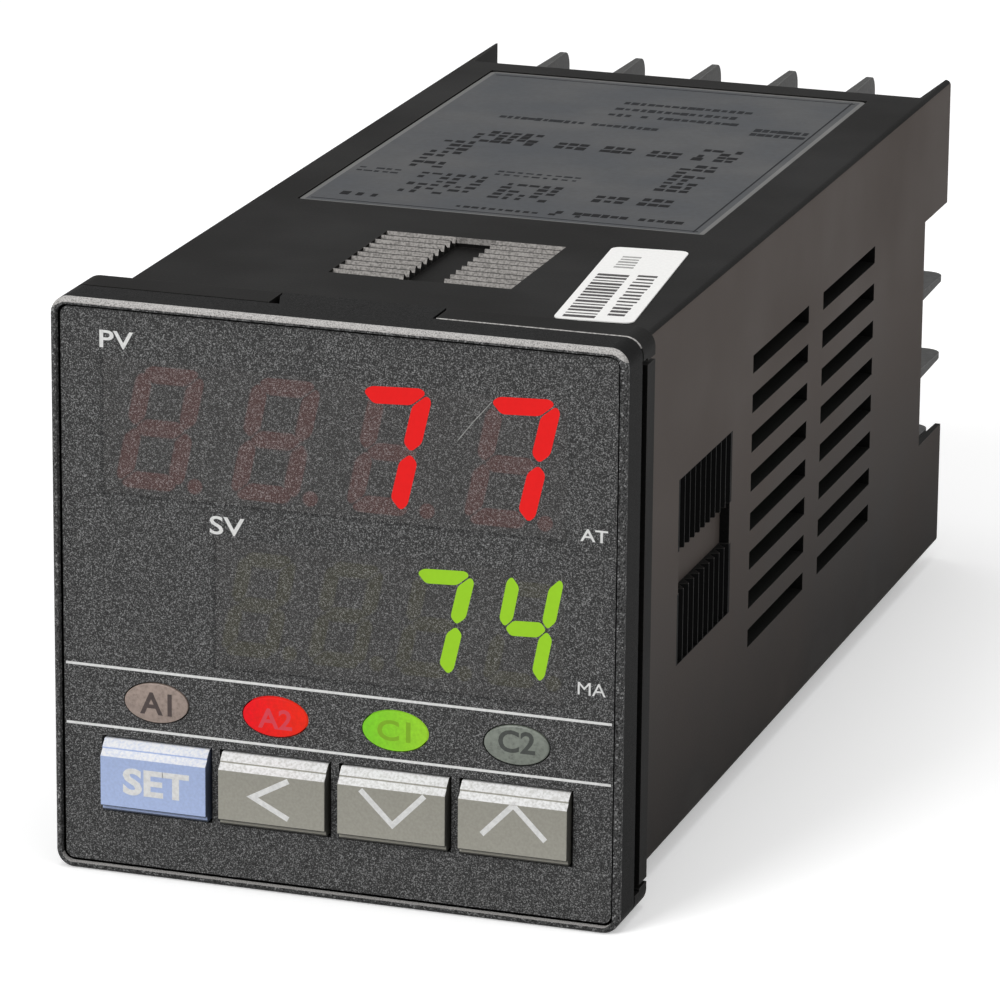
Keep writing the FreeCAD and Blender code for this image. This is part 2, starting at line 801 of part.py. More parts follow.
def transformer_core(face_x, start, level):
    """An E-I core: a block with two windows and a centre leg between them."""
    depth, height, thick = 26.0, 22.0, 10.0
    x_range = (face_x + 3.0, face_x + 3.0 + thick)
    core = block(x_range, (start, start + depth), (level - height / 2, level + height / 2))
    windows = []
    for offset in (4.0, depth - 8.0):
        windows.append(block((x_range[0] - 1, x_range[1] + 1), (start + offset, start + offset + 4.0),
                             (level - 7.0, level + 7.0)))
    return core.cut(windows)


def transformer_coil(face_x, start, level):
    """The winding, which passes through both windows round the centre leg."""
    outer = block((face_x, face_x + 16.0), (start + 4.1, start + 21.9), (level - 6.9, level + 6.9))
    leg = block((face_x + 2.9, face_x + 13.1), (start + 7.9, start + 18.1), (level - 8.0, level + 8.0))
    upright = [edge for edge in outer.Edges if edge.BoundBox.ZLength > 10]
    return outer.makeFillet(1.5, upright).cut(leg)


def relay(face_x, start, level):
    body = block((face_x - 12.0, face_x), (start, start + 20.0), (level - 5.0, level + 5.0))
    far = [edge for edge in body.Edges if abs(edge.BoundBox.XMax - (face_x - 12.0)) < 1e-6]
    return body.makeChamfer(0.5, far)


def capacitor(face_x, start, level, radius, length):
    can = rod(radius, (face_x, start, level), length, (1, 0, 0))
    far = [edge for edge in can.Edges if abs(edge.BoundBox.XMin - (face_x + length)) < 1e-6]
    return can.makeChamfer(0.5, far)


def build_electronics():
    left_face = -(side_board_x - board_thick / 2)
    right_face = side_board_x - board_thick / 2
    outer_face = side_board_x + board_thick / 2
    add("display_board", display_board())
    add("control_board", side_board())
    add("power_board", mirrored_x(side_board()))
    add("board_headers", [board_header(1), board_header(-1)])
    add("transformer_core", transformer_core(left_face, 30.0, middle))
    add("transformer_coil", transformer_coil(left_face, 30.0, middle))
    add("output_relays", [relay(right_face, 62.0, middle + 9.0), relay(right_face, 62.0, middle - 9.0)])
    add("capacitors", [capacitor(left_face, 68.0, middle + 8.0, 5.0, 16.0),
                       capacitor(left_face, 68.0, middle - 6.0, 4.0, 12.0)])
    chip = block((outer_face, outer_face + 1.5), (34.0, 46.0), (middle - 6.0, middle + 6.0))
    add("microcontroller", chip.makeChamfer(0.3, [edge for edge in chip.Edges if edge.BoundBox.XLength < 1e-6
                                                  and edge.BoundBox.XMax > outer_face + 1.0]))
    couplers = []
    for index in range(3):
        level = middle + (index - 1) * 8.0
        couplers.append(block((right_face - 3.5, right_face), (46.0, 52.5), (level - 2.3, level + 2.3)))
    add("optocouplers", couplers)
    add("varistor", rod(4.5, (left_face, 82.0, middle), 4.0, (1, 0, 0)))


# ---------------------------------------------------------------- the whole

def build():
    add("bezel_frame", bezel_frame())
    add("front_sheet", front_sheet())
    for index, name in enumerate(key_names):
        add(name + "_key", key_cap(index))
        add(name + "_plunger", switch_plunger(index))
    add("key_switches", [switch_base(index) for index in range(4)])
    for index, name in enumerate(lens_names):
        add(name + "_lens", indicator_lens(index))
    add("indicator_leds", [indicator_led(index) for index in range(4)])
    display("pv", pv_left, pv_cell, pv_level, pv_module_height,
            pv_figure_width, pv_figure_height, pv_bar, ["", "", "abc", "abc"])
    display("sv", sv_left, sv_cell, sv_level, sv_module_height,
            sv_figure_width, sv_figure_height, sv_bar, ["", "", "abc", "bcfg"])
    build_electronics()
    add("case", case())
    add("wiring_label", wiring_label())
    add("white_sticker", white_sticker())
    add("terminal_block", terminal_block())
    add("terminal_plates", placed_in_bays(terminal_plate))
    add("terminal_screws", placed_in_bays(terminal_screw))


def export():
    os.makedirs("parts", exist_ok=True)
    for name, shape in parts.items():
        centred = shape.copy()
        centred.translate(Vector(0, -mid_depth, 0))
        centred.exportStep(os.path.join("parts", name + ".step"))
        print(name, len(centred.Solids), "solid(s)", round(centred.Volume, 2), "mm3", centred.isValid())
    print("depth", round(total_depth, 3), "rim at y", round(-mid_depth, 3))


build()
export()
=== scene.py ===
import math

import bmesh
import bpy
from mathutils import Matrix, Vector


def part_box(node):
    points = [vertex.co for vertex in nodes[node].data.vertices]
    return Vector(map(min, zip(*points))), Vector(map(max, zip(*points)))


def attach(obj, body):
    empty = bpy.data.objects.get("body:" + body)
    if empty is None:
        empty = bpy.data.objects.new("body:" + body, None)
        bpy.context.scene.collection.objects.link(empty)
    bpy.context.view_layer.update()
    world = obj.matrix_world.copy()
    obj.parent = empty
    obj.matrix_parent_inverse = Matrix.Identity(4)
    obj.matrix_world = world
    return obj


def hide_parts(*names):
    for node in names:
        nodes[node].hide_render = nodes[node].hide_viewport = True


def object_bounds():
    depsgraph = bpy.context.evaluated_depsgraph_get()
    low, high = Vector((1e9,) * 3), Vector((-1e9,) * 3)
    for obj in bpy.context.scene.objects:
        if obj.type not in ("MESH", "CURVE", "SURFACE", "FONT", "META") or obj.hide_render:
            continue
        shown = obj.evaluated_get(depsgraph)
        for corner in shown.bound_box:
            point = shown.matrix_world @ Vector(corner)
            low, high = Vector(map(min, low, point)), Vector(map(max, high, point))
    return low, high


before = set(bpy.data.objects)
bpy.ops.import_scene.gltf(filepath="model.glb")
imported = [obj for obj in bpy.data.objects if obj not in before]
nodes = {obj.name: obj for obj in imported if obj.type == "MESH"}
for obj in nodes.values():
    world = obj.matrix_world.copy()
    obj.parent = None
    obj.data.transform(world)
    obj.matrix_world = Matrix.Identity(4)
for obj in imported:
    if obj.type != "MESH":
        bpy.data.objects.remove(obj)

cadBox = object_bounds()
root = "controller"
mm = 0.001
keyNames = ["set", "shift", "down", "up"]
lensNames = ["alarm_1", "alarm_2", "control_1", "control_2"]
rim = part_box("bezel_frame")[0].y
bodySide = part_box("terminal_block")[1].x
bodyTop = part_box("white_sticker")[0].z
middleLevel = (cadBox[0].z + cadBox[1].z) / 2


# Shader and geometry trees

class Wire:  # a socket that can stand in a sum
    def __init__(self, plan, socket):
        self.plan = plan
        self.socket = socket

    def maths(self, operation, first, second):
        return self.plan.node("ShaderNodeMath", {"operation": operation}, {0: first, 1: second})

    def __add__(self, other):
        return self.maths("ADD", self, other)

    def __radd__(self, other):
        return self.maths("ADD", other, self)

    def __sub__(self, other):
        return self.maths("SUBTRACT", self, other)

    def __rsub__(self, other):
        return self.maths("SUBTRACT", other, self)

    def __mul__(self, other):
        return self.maths("MULTIPLY", self, other)

    def __rmul__(self, other):
        return self.maths("MULTIPLY", other, self)

    def __truediv__(self, other):
        return self.maths("DIVIDE", self, other)

    def above(self, other):
        return self.maths("GREATER_THAN", self, other)

    def below(self, other):
        return self.maths("LESS_THAN", self, other)


class Plan:  # a node tree in the making
    def __init__(self, tree):
        self.tree = tree

    def node(self, kind, settings=None, sockets=None, output=0):
        made = self.tree.nodes.new(kind)
        for name, value in (settings or {}).items():
            if name == "stops":
                self.setStops(made.color_ramp, value)
            else:
                setattr(made, name, value)
        for name, value in (sockets or {}).items():
            if isinstance(value, (Wire, list)):
                for wire in value if isinstance(value, list) else [value]:
                    self.tree.links.new(wire.socket, made.inputs[name])
            else:
                made.inputs[name].default_value = value
        return Wire(self, made.outputs[output]) if made.outputs else None

    def setStops(self, ramp, stops):
        while len(ramp.elements) < len(stops):
            ramp.elements.new(0.5)
        for element, (position, colour) in zip(ramp.elements, stops):
            element.position = position
            element.color = colour


class Paint(Plan):  # a material in the making, with patterns that sit still on the object
    def __init__(self, name):
        self.material = bpy.data.materials.new(name)
        self.material.use_nodes = True
        super().__init__(self.material.node_tree)
        self.tree.nodes.clear()
        self.place = self.node("ShaderNodeTexCoord", output="Object")

    def stretched(self, scale):
        return self.node("ShaderNodeMapping", sockets={"Vector": self.place, "Scale": scale})

    def noise(self, size, detail=2.0, place=None):
        sockets = {"Vector": place or self.place, "Scale": 1 / (size * mm), "Detail": detail}
        return self.node("ShaderNodeTexNoise", sockets=sockets)

    def cells(self, size, output="Distance"):
        sockets = {"Vector": self.place, "Scale": 1 / (size * mm)}
        return self.node("ShaderNodeTexVoronoi", sockets=sockets, output=output)

    def size(self, value):  # without its sign
        return value.maths("ABSOLUTE", value, 0.0)

    def spread(self, value, low, high, newLow=0.0, newHigh=1.0):
        sockets = {"Value": value, "From Min": low, "From Max": high, "To Min": newLow, "To Max": newHigh}
        return self.node("ShaderNodeMapRange", sockets=sockets)

    def ramp(self, value, stops):
        return self.node("ShaderNodeValToRGB", {"stops": stops}, {"Fac": value})

    def mix(self, factor, first, second):
        return self.node("ShaderNodeMix", {"data_type": "RGBA"}, {0: factor, 6: first, 7: second}, output=2)

    def speckle(self, grain, low, high):  # a tone that wanders between two colours with the grain
        return self.mix(self.spread(grain, 0.35, 0.65), low, high)

    def along(self, axis):
        return self.node("ShaderNodeSeparateXYZ", sockets={"Vector": self.place}, output=axis)

    def facing(self, axis):  # how far the surface faces along an axis, from -1 to 1
        normal = self.node("ShaderNodeTexCoord", output="Normal")
        return self.node("ShaderNodeSeparateXYZ", sockets={"Vector": normal}, output=axis)

    def edges(self, radius):  # 1 where the surface bends within that many millimetres
        rounded = self.node("ShaderNodeBevel", {"samples": 4}, {"Radius": radius * mm})
        flat = self.node("ShaderNodeNewGeometry", output="True Normal")
        settings = {"operation": "DOT_PRODUCT"}
        match = self.node("ShaderNodeVectorMath", settings, {0: rounded, 1: flat}, output="Value")
        return self.spread(match, 0.995, 0.8)

    def bump(self, height, depth):
        sockets = {"Height": height, "Distance": depth * mm, "Strength": 1.0}
        return self.node("ShaderNodeBump", sockets=sockets)

    def finish(self, sockets):
        shader = self.node("ShaderNodeBsdfPrincipled", sockets=sockets)
        self.node("ShaderNodeOutputMaterial", sockets={"Surface": shader})
        return self.material


class Recipe(Plan):  # a geometry tree with named inputs
    def __init__(self, name, inputs):
        super().__init__(bpy.data.node_groups.new(name, "GeometryNodeTree"))
        face = self.tree.interface
        face.new_socket("Geometry", in_out="INPUT", socket_type="NodeSocketGeometry")
        face.new_socket("Geometry", in_out="OUTPUT", socket_type="NodeSocketGeometry")
        for label, kind in inputs:
            face.new_socket(label, in_out="INPUT", socket_type="NodeSocket" + kind)
        self.given = self.tree.nodes.new("NodeGroupInput")

    def want(self, label):
        return Wire(self, self.given.outputs[label])

    def close(self, geometry):
        real = self.node("GeometryNodeRealizeInstances", sockets={"Geometry": geometry})
        sockets = {"Geometry": real, "Material": self.want("Material")}
        painted = self.node("GeometryNodeSetMaterial", sockets=sockets)
        self.node("NodeGroupOutput", sockets={"Geometry": painted})

    def grow(self, name, start, values):  # a plain mesh object grown from a starting mesh
        grown = showObject(name + "Start", start)
        modifier = grown.modifiers.new("recipe", "NODES")
        modifier.node_group = self.tree
        for item in self.tree.interface.items_tree:
            if item.in_out == "INPUT" and item.name in values:
                modifier[item.identifier] = values[item.name]
        made = plainMesh(grown)
        bpy.data.objects.remove(grown)
        return showObject(name, made)


def showObject(name, mesh):
    made = bpy.data.objects.new(name, mesh)
    bpy.context.scene.collection.objects.link(made)
    return made


def plainMesh(thing):  # what the modifiers make of an object, as a mesh of its own
    bpy.context.view_layer.update()
    graph = bpy.context.evaluated_depsgraph_get()
    return bpy.data.meshes.new_from_object(thing.evaluated_get(graph), depsgraph=graph)


def grey(value, warmth=0.0):
    return (value * (1 + warmth), value, value * (1 - warmth), 1.0)


def shade(colour, times=1.0):  # a colour with its alpha, brighter or darker
    return tuple(min(1.0, channel * times) for channel in colour) + (1.0,)


# Finishes

casing = {
    "dark": 0.004, "light": 0.009,
    "grain": 0.2, "patch": 14.0, "dustSize": 0.35, "dustShare": 0.07, "dustTone": 0.25,
    "roughness": 0.6, "shine": 0.04, "relief": 0.012,
    "wearAndHighlight": 0.08, "wearAndHighlightEdge": 0.12, "wearAndHighlightTone": 0.3,
}
paintedSideLight = {  # painted light: the right-hand wall is painted lighter and warmer upwards, where the side light falls
    "tint": (0.098, 0.082, 0.074),
    "low": 0.004, "high": 0.03, "least": 0.12, "most": 0.85, "ragged": 0.02,
}
rack = {"start": 20.0, "end": 35.4, "channel": 1.8, "half": 7.9, "paintedShadeTone": 0.002, "paintedHighlightTone": 0.36}
flangeHighlight = {"depth": 7.0, "from": 6.5, "tone": 0.45}


def rackMask(paint):  # 1 over the length of the clamp racks
    return paint.along("Y").above(rim + rack["start"] * mm) * paint.along("Y").below(rim + rack["end"] * mm)


def casePlastic():
    paint = Paint("casePlastic")
    grain = paint.noise(casing["grain"], 4.0)
    patch = paint.noise(casing["patch"], 3.0)
    dust = paint.spread(paint.cells(casing["dustSize"]), 0.0, 0.16, 1.0, 0.0)
    tone = grain * 0.6 + patch * 0.4
    colour = paint.speckle(tone, grey(casing["dark"], 0.04), grey(casing["light"], 0.04))
    colour = paint.mix(dust * casing["dustShare"], colour, grey(casing["dustTone"]))
    outer = paint.along("X").above(bodySide - 1.2 * mm) * paint.along("X").below(bodySide + 0.1 * mm)
    # painted light: the outward face of the right-hand wall, painted lighter towards the top
    wall = paint.facing("X").above(0.9) * outer
    upward = paint.along("Z") + (patch - 0.5) * paintedSideLight["ragged"]
    rise = paint.spread(upward, paintedSideLight["low"], paintedSideLight["high"], paintedSideLight["least"], paintedSideLight["most"])
    colour = paint.mix(wall * rise, colour, shade(paintedSideLight["tint"]))
    # lighter on every bent edge: edge wear and a painted edge highlight
    wearAndHighlight = paint.edges(casing["wearAndHighlightEdge"]) * casing["wearAndHighlight"]
    colour = paint.mix(wearAndHighlight, colour, grey(casing["wearAndHighlightTone"], 0.05))
    # painted shade: the rack rows on the side walls are painted darker
    fromMiddle = paint.size(paint.along("Z") - middleLevel)
    rows = fromMiddle.above(rack["channel"] * mm) * fromMiddle.below(rack["half"] * mm)
    colour = paint.mix(outer * rackMask(paint) * rows, colour, grey(rack["paintedShadeTone"]))
    chamfer = paint.facing("Y").below(-0.3) * paint.facing("Z").above(0.3)
    chamfer = chamfer * paint.along("Y").below(rim + flangeHighlight["depth"] * mm)
    chamfer = chamfer * paint.along("X").above(flangeHighlight["from"] * mm)
    paintedHighlight = chamfer * paint.spread(grain, 0.3, 0.6, 0.4, 1.0)  # painted highlight on the flange's front edge
    colour = paint.mix(paintedHighlight, colour, grey(flangeHighlight["tone"], 0.03))
    # painted highlight on the front-facing steep faces of the top rack's teeth
    teeth = paint.along("Z").above(bodyTop - 0.5 * mm) * paint.along("Z").below(bodyTop + 0.1 * mm)
    teeth = teeth * paint.facing("Y").below(-0.5) * rackMask(paint)
    paintedHighlight = teeth * paint.spread(grain, 0.35, 0.6, 0.5, 1.0)
    colour = paint.mix(paintedHighlight, colour, grey(rack["paintedHighlightTone"], 0.05))
    return paint.finish({
        "Base Color": colour,
        "Roughness": paint.spread(patch, 0.3, 0.7, casing["roughness"] - 0.05, casing["roughness"] + 0.08),
        "Specular IOR Level": casing["shine"],
        "Normal": paint.bump(grain, casing["relief"]),
    })


bezelFinish = {
    "dark": 0.002, "light": 0.005, "rimDark": 0.015, "rimLight": 0.13, "rimDepth": 0.6,
    "grain": 0.11, "fleckSize": 0.13, "fleck": 0.6, "ridgeHighlight": 0.5,
    "roughness": 0.5, "shine": 0.02, "relief": 0.02,
}


def bezelPlastic():
    paint = Paint("bezelPlastic")
    grain = paint.noise(bezelFinish["grain"], 3.0)
    fleck = paint.cells(bezelFinish["fleckSize"], "Color")
    tone = paint.spread(grain, 0.38, 0.66)
    plain = paint.mix(tone, grey(bezelFinish["dark"]), grey(bezelFinish["light"]))
    # painted highlight: the front 0.6 mm of the frame is painted lighter, with the grain showing as speckle
    speckledHighlight = paint.mix(tone, grey(bezelFinish["rimDark"]), grey(bezelFinish["rimLight"]))
    speckledHighlight = paint.mix(paint.spread(fleck, 0.7, 1.0) * 0.7, speckledHighlight, grey(bezelFinish["fleck"]))
    front = paint.along("Y").below(rim + bezelFinish["rimDepth"] * mm)
    ridgeHighlight = paint.facing("Z").above(0.3) * paint.spread(grain, 0.3, 0.6, 0.3, 1.0)  # painted highlight on the upward-facing rim
    speckledHighlight = paint.mix(ridgeHighlight, speckledHighlight, grey(bezelFinish["ridgeHighlight"], 0.03))
    dull = bezelFinish["roughness"]
    return paint.finish({
        "Base Color": paint.mix(front, plain, speckledHighlight),
        "Roughness": paint.spread(grain, 0.3, 0.7, dull - 0.1, dull + 0.1),
        "Specular IOR Level": bezelFinish["shine"],
        "Normal": paint.bump(grain, bezelFinish["relief"]),
    })


sheetFinish = {
    "grain": 0.1, "fleck": 0.14, "dark": 0.003, "middle": 0.03, "bright": 0.38,
    "windowAlpha": 0.74, "shine": 0.22, "relief": 0.012,
}


def windowMask(paint, node):  # 1 inside the outline of a display module
    low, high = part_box(node)
    across = paint.along("X")
    upward = paint.along("Z")
    return across.above(low.x) * across.below(high.x) * upward.above(low.z) * upward.below(high.z)


def frontSheetFilm():
    paint = Paint("frontSheetFilm")
    grain = paint.noise(sheetFinish["grain"], 3.0)
    fleck = paint.cells(sheetFinish["fleck"], "Color")
    tone = paint.spread(grain, 0.3, 0.7) * 0.72 + paint.spread(fleck, 0.1, 1.0) * 0.3
    places = {"dark": 0.0, "middle": 0.5, "bright": 1.0}
    stops = [(place, grey(sheetFinish[key])) for key, place in places.items()]
    window = windowMask(paint, "pv_display") + windowMask(paint, "sv_display")
    middle = (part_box("front_sheet")[0].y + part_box("front_sheet")[1].y) / 2
    shown = paint.along("Y").below(middle) * sheetFinish["windowAlpha"]  # the rear face there is clear
    return paint.finish({
        "Base Color": paint.ramp(tone, stops),
        "Roughness": paint.spread(grain, 0.3, 0.7, 0.42, 0.6),
        "Specular IOR Level": sheetFinish["shine"],
        "Alpha": 1.0 - window * (1.0 - shown),
        "Normal": paint.bump(grain, sheetFinish["relief"]),
    })


plastic = {"grain": 0.3, "relief": 0.01, "wearAndHighlightEdge": 0.12, "wearAndHighlightTone": 0.4}


def plainPlastic(name, colour, roughness, shine=0.4, spread=0.15, wearAndHighlight=0.0):
    paint = Paint(name)
    grain = paint.noise(plastic["grain"], 3.0)
    tone = paint.speckle(grain, shade(colour, 1 - spread), shade(colour, 1 + spread))
    # lighter on bent edges: edge wear and a painted edge highlight
    if wearAndHighlight:
        tone = paint.mix(paint.edges(plastic["wearAndHighlightEdge"]) * wearAndHighlight, tone, grey(plastic["wearAndHighlightTone"], 0.03))
    return paint.finish({
        "Base Color": tone,
        "Roughness": paint.spread(grain, 0.3, 0.7, roughness - 0.05, roughness + 0.05),
        "Specular IOR Level": shine,
        "Normal": paint.bump(grain, plastic["relief"]),
    })


keyFinish = {"grain": 0.22, "slopeHighlightTone": 0.84, "sideShadeShare": 0.16, "shine": 0.3, "relief": 0.01}


def keyPlastic(name, colour, spread):  # satin caps, with a painted highlight on their upward slopes and painted shade on their sides and undersides
    paint = Paint(name)
    grain = paint.noise(keyFinish["grain"], 3.0)
    tone = paint.speckle(grain, shade(colour, 1 - spread), shade(colour, 1 + spread))
    # painted highlight on the upward-facing slopes
    slopeHighlight = paint.facing("Z").above(0.2) * paint.spread(grain, 0.3, 0.6, 0.5, 0.95)
    tone = paint.mix(slopeHighlight, tone, grey(keyFinish["slopeHighlightTone"]))
    # painted shade on the sides and undersides of the caps
    side = paint.size(paint.facing("X")).above(0.5) + paint.facing("Z").below(-0.2)
    return paint.finish({
        "Base Color": paint.mix(side, tone, shade(colour, keyFinish["sideShadeShare"])),
        "Roughness": paint.spread(grain, 0.3, 0.7, 0.4, 0.5),
        "Specular IOR Level": keyFinish["shine"],
        "Normal": paint.bump(grain, keyFinish["relief"]),
    })


light = {
    "grain": 0.4, "bodyShare": 0.2, "shine": 0.05,
    "lensGrain": 0.25, "lensShare": 0.35, "lensShine": 0.1,
}


def glowing(name, colour, strength, grained):  # a glowing window or bar, a little darker at its grain; on the display faces and the unlit bars the glow is painted light
    paint = Paint(name)
    grain = paint.noise(light["grain"], 2.0)
    return paint.finish({
        "Base Color": shade(colour, light["bodyShare"]),
        "Specular IOR Level": light["shine"],
        "Roughness": paint.spread(grain, 0.3, 0.7, 0.4, 0.55),
        "Emission Color": paint.mix(paint.spread(grain, 0.3, 0.7), shade(colour, grained), shade(colour)),
        "Emission Strength": strength,
    })


def litLens(name, node, left, right, strength):  # the lamp behind sits off centre, so one side is warmer
    low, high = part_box(node)
    paint = Paint(name)
    grain = paint.noise(light["lensGrain"], 3.0)
    side = paint.spread(paint.along("X") + (grain - 0.5) * 0.002, low.x, high.x)
    glow = paint.mix(side, shade(left), shade(right))
    return paint.finish({
        "Base Color": shade(left, light["lensShare"]),
        "Specular IOR Level": light["lensShine"],
        "Roughness": paint.spread(grain, 0.3, 0.7, 0.35, 0.5),
        "Emission Color": paint.mix(paint.spread(grain, 0.3, 0.7, 0.0, 0.25), glow, grey(0.02)),
        "Emission Strength": strength,
        "Normal": paint.bump(grain, 0.01),
    })


def metal(name, colour, roughness):
    paint = Paint(name)
    brushed = paint.noise(0.5, 4.0, paint.stretched((1.0, 1.0, 0.15)))
    return paint.finish({
        "Base Color": paint.mix(brushed, shade(colour, 0.8), shade(colour)),
        "Metallic": 1.0,
        "Roughness": paint.spread(brushed, 0.3, 0.7, roughness - 0.08, roughness + 0.08),
        "Normal": paint.bump(brushed, 0.01),
    })


boardFinish = {
    "mask": (0.01, 0.12, 0.05), "copper": (0.05, 0.3, 0.1),
    "land": 2.2, "grain": 0.6, "relief": 0.03,
}


def circuitBoard():
    paint = Paint("circuitBoard")
    grain = paint.noise(boardFinish["grain"], 3.0)
    copper = paint.spread(paint.cells(boardFinish["land"]), 0.42, 0.5)
    tone = copper * 0.5 + grain * 0.2
    return paint.finish({
        "Base Color": paint.mix(tone, shade(boardFinish["mask"]), shade(boardFinish["copper"])),
        "Roughness": paint.spread(grain, 0.3, 0.7, 0.25, 0.4),
        "Normal": paint.bump(copper, boardFinish["relief"]),
    })


filmFinish = {
    "tone": (0.052, 0.056, 0.062), "smear": (0.04, 0.041, 0.043), "rim": (0.16, 0.158, 0.152),
    "rimWidth": 0.45, "rimShare": 0.7, "grain": 0.5, "smearSize": 9.0, "shine": 0.06, "relief": 0.006,
}


def labelFilm():
    low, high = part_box("wiring_label")
    paint = Paint("labelFilm")
    grain = paint.noise(filmFinish["grain"], 3.0)
    smear = paint.noise(filmFinish["smearSize"], 2.0)
    blotch = paint.spread(grain * 0.35 + smear * 0.65, 0.38, 0.62)
    colour = paint.mix(blotch, shade(filmFinish["smear"]), shade(filmFinish["tone"]))
    middle = (low + high) / 2
    inner = (high - low) / 2 - Vector((1, 1, 0)) * filmFinish["rimWidth"] * mm
    fromSide = paint.size(paint.along("X") - middle.x) - inner.x
    fromEnd = paint.size(paint.along("Y") - middle.y) - inner.y
    rimBand = fromSide.maths("MAXIMUM", fromSide, fromEnd).above(0.0)
    return paint.finish({
        "Base Color": paint.mix(rimBand * filmFinish["rimShare"], colour, shade(filmFinish["rim"])),
        "Roughness": paint.spread(smear, 0.3, 0.7, 0.4, 0.55),
        "Specular IOR Level": filmFinish["shine"],
        "Normal": paint.bump(grain, filmFinish["relief"]),
    })


lensLight = {  # left and right colour, strength
    "alarm_2_lens": ((0.84, 0.006, 0.016), (0.86, 0.04, 0.008), 0.72),
    "control_1_lens": ((0.16, 0.5, 0.022), (0.32, 0.56, 0.03), 0.92),
}
finishes = {
    "casePlastic": casePlastic(),
    "bezelPlastic": bezelPlastic(),
    "frontSheetFilm": frontSheetFilm(),
    "labelFilm": labelFilm(),
    "mouldedBlack": plainPlastic("mouldedBlack", (0.018, 0.0178, 0.017), 0.5, 0.15, wearAndHighlight=0.2),
    "clearPlastic": plainPlastic("clearPlastic", (0.7, 0.7, 0.68), 0.2),
    # painted light: the display faces glow, though no lamp lights them
    "displayFace": glowing("displayFace", (0.085, 0.082, 0.08), 1.0, 0.85),
    "redBarLight": glowing("redBarLight", (0.82, 0.018, 0.018), 0.8, 0.95),
    "greenBarLight": glowing("greenBarLight", (0.31, 0.6, 0.028), 0.84, 0.95),
    # painted light: the unlit bars glow faintly
    "redBarDark": glowing("redBarDark", (0.23, 0.10, 0.09), 1.0, 0.85),
    "greenBarDark": glowing("greenBarDark", (0.12, 0.115, 0.07), 1.0, 0.85),
    "circuitBoard": circuitBoard(),
    "coreSteel": metal("coreSteel", (0.3, 0.3, 0.31), 0.5),
    "coilTape": plainPlastic("coilTape", (0.6, 0.42, 0.08), 0.45),
    "capacitorSleeve": plainPlastic("capacitorSleeve", (0.02, 0.025, 0.06), 0.3),
    "varistorCoat": plainPlastic("varistorCoat", (0.03, 0.1, 0.4), 0.35),
    "stickerPaper": plainPlastic("stickerPaper", (0.84, 0.835, 0.82), 0.6, 0.2, spread=0.03),
    "platedBrass": metal("platedBrass", (0.78, 0.7, 0.5), 0.35),
    "platedSteel": metal("platedSteel", (0.72, 0.72, 0.74), 0.3),
    "blueKey": keyPlastic("blueKey", (0.43, 0.53, 0.8), 0.05),
    "greyKey": keyPlastic("greyKey", (0.34, 0.33, 0.285), 0.06),
    "whiteInk": plainPlastic("whiteInk", (0.78, 0.78, 0.77), 0.6, spread=0.08),
    "paleInk": plainPlastic("paleInk", (0.3, 0.3, 0.29), 0.6, spread=0.2),
    "darkInk": plainPlastic("darkInk", (0.012, 0.012, 0.013), 0.75, 0.04, spread=0.3),
    "barInk": plainPlastic("barInk", (0.07, 0.066, 0.066), 0.7, 0.1, spread=0.4),
    "faintInk": plainPlastic("faintInk", (0.02, 0.021, 0.023), 0.75, 0.04, spread=0.3),
    "brownInk": plainPlastic("brownInk", (0.05, 0.035, 0.032), 0.5, spread=0.2),
    "pinkInk": glowing("pinkInk", (0.62, 0.06, 0.08), 0.9, 0.9),
    "leafInk": glowing("leafInk", (0.22, 0.42, 0.03), 0.8, 0.9),
    "slateInk": plainPlastic("slateInk", (0.04, 0.045, 0.04), 0.5, spread=0.2),
    "alarm_1_lens": plainPlastic("dullRedLens", (0.32, 0.25, 0.215), 0.3),
    "alarm_2_lens": litLens("litRedLens", "alarm_2_lens", *lensLight["alarm_2_lens"]),
    "control_1_lens": litLens("litGreenLens", "control_1_lens", *lensLight["control_1_lens"]),
    "control_2_lens": plainPlastic("dullGreenLens", (0.19, 0.21, 0.18), 0.3),
}

nodeFinish = {
    "bezel_frame": "bezelPlastic", "front_sheet": "frontSheetFilm", "key_switches": "mouldedBlack",
    "indicator_leds": "clearPlastic", "pv_display": "displayFace", "sv_display": "displayFace",
    "pv_lit_bars": "redBarLight", "pv_dark_bars": "redBarDark", "sv_lit_bars": "greenBarLight",
    "sv_dark_bars": "greenBarDark", "display_board": "circuitBoard", "control_board": "circuitBoard",
    "power_board": "circuitBoard", "board_headers": "mouldedBlack", "transformer_core": "coreSteel",
    "transformer_coil": "coilTape", "output_relays": "mouldedBlack", "capacitors": "capacitorSleeve",
    "microcontroller": "mouldedBlack", "optocouplers": "mouldedBlack", "varistor": "varistorCoat",
    "case": "casePlastic", "wiring_label": "labelFilm", "white_sticker": "stickerPaper",
    "terminal_block": "mouldedBlack", "terminal_plates": "platedBrass", "terminal_screws": "platedSteel",
}
for name in keyNames:
    nodeFinish[name + "_key"] = "blueKey" if name == "set" else "greyKey"
    nodeFinish[name + "_plunger"] = "mouldedBlack"
for name in lensNames:
    nodeFinish[name + "_lens"] = name + "_lens"


def coat(thing, finish):
    thing.data.materials.clear()
    thing.data.materials.append(finishes[finish])


for name, thing in nodes.items():
    coat(thing, nodeFinish[name])
print("finishes", len(finishes))


# Keys, lenses and figure bars: the CAD shapes with moulded edges

moulded = {"keyEdge": 0.13, "lensEdge": 0.16, "barCorner": 0.32, "sink": 0.012}
litShape = {  # of the left and right lit figure: shift, rise, times wider, times taller
    "pv": [(-0.8, 0.0, 1.11, 1.04), (0.0, 0.15, 1.11, 1.04)],
    "sv": [(0.0, 0.1, 1.11, 1.04), (0.6, 0.3, 0.97, 1.09)],
    "proud": 0.006,
    "lean": 0.045,
}


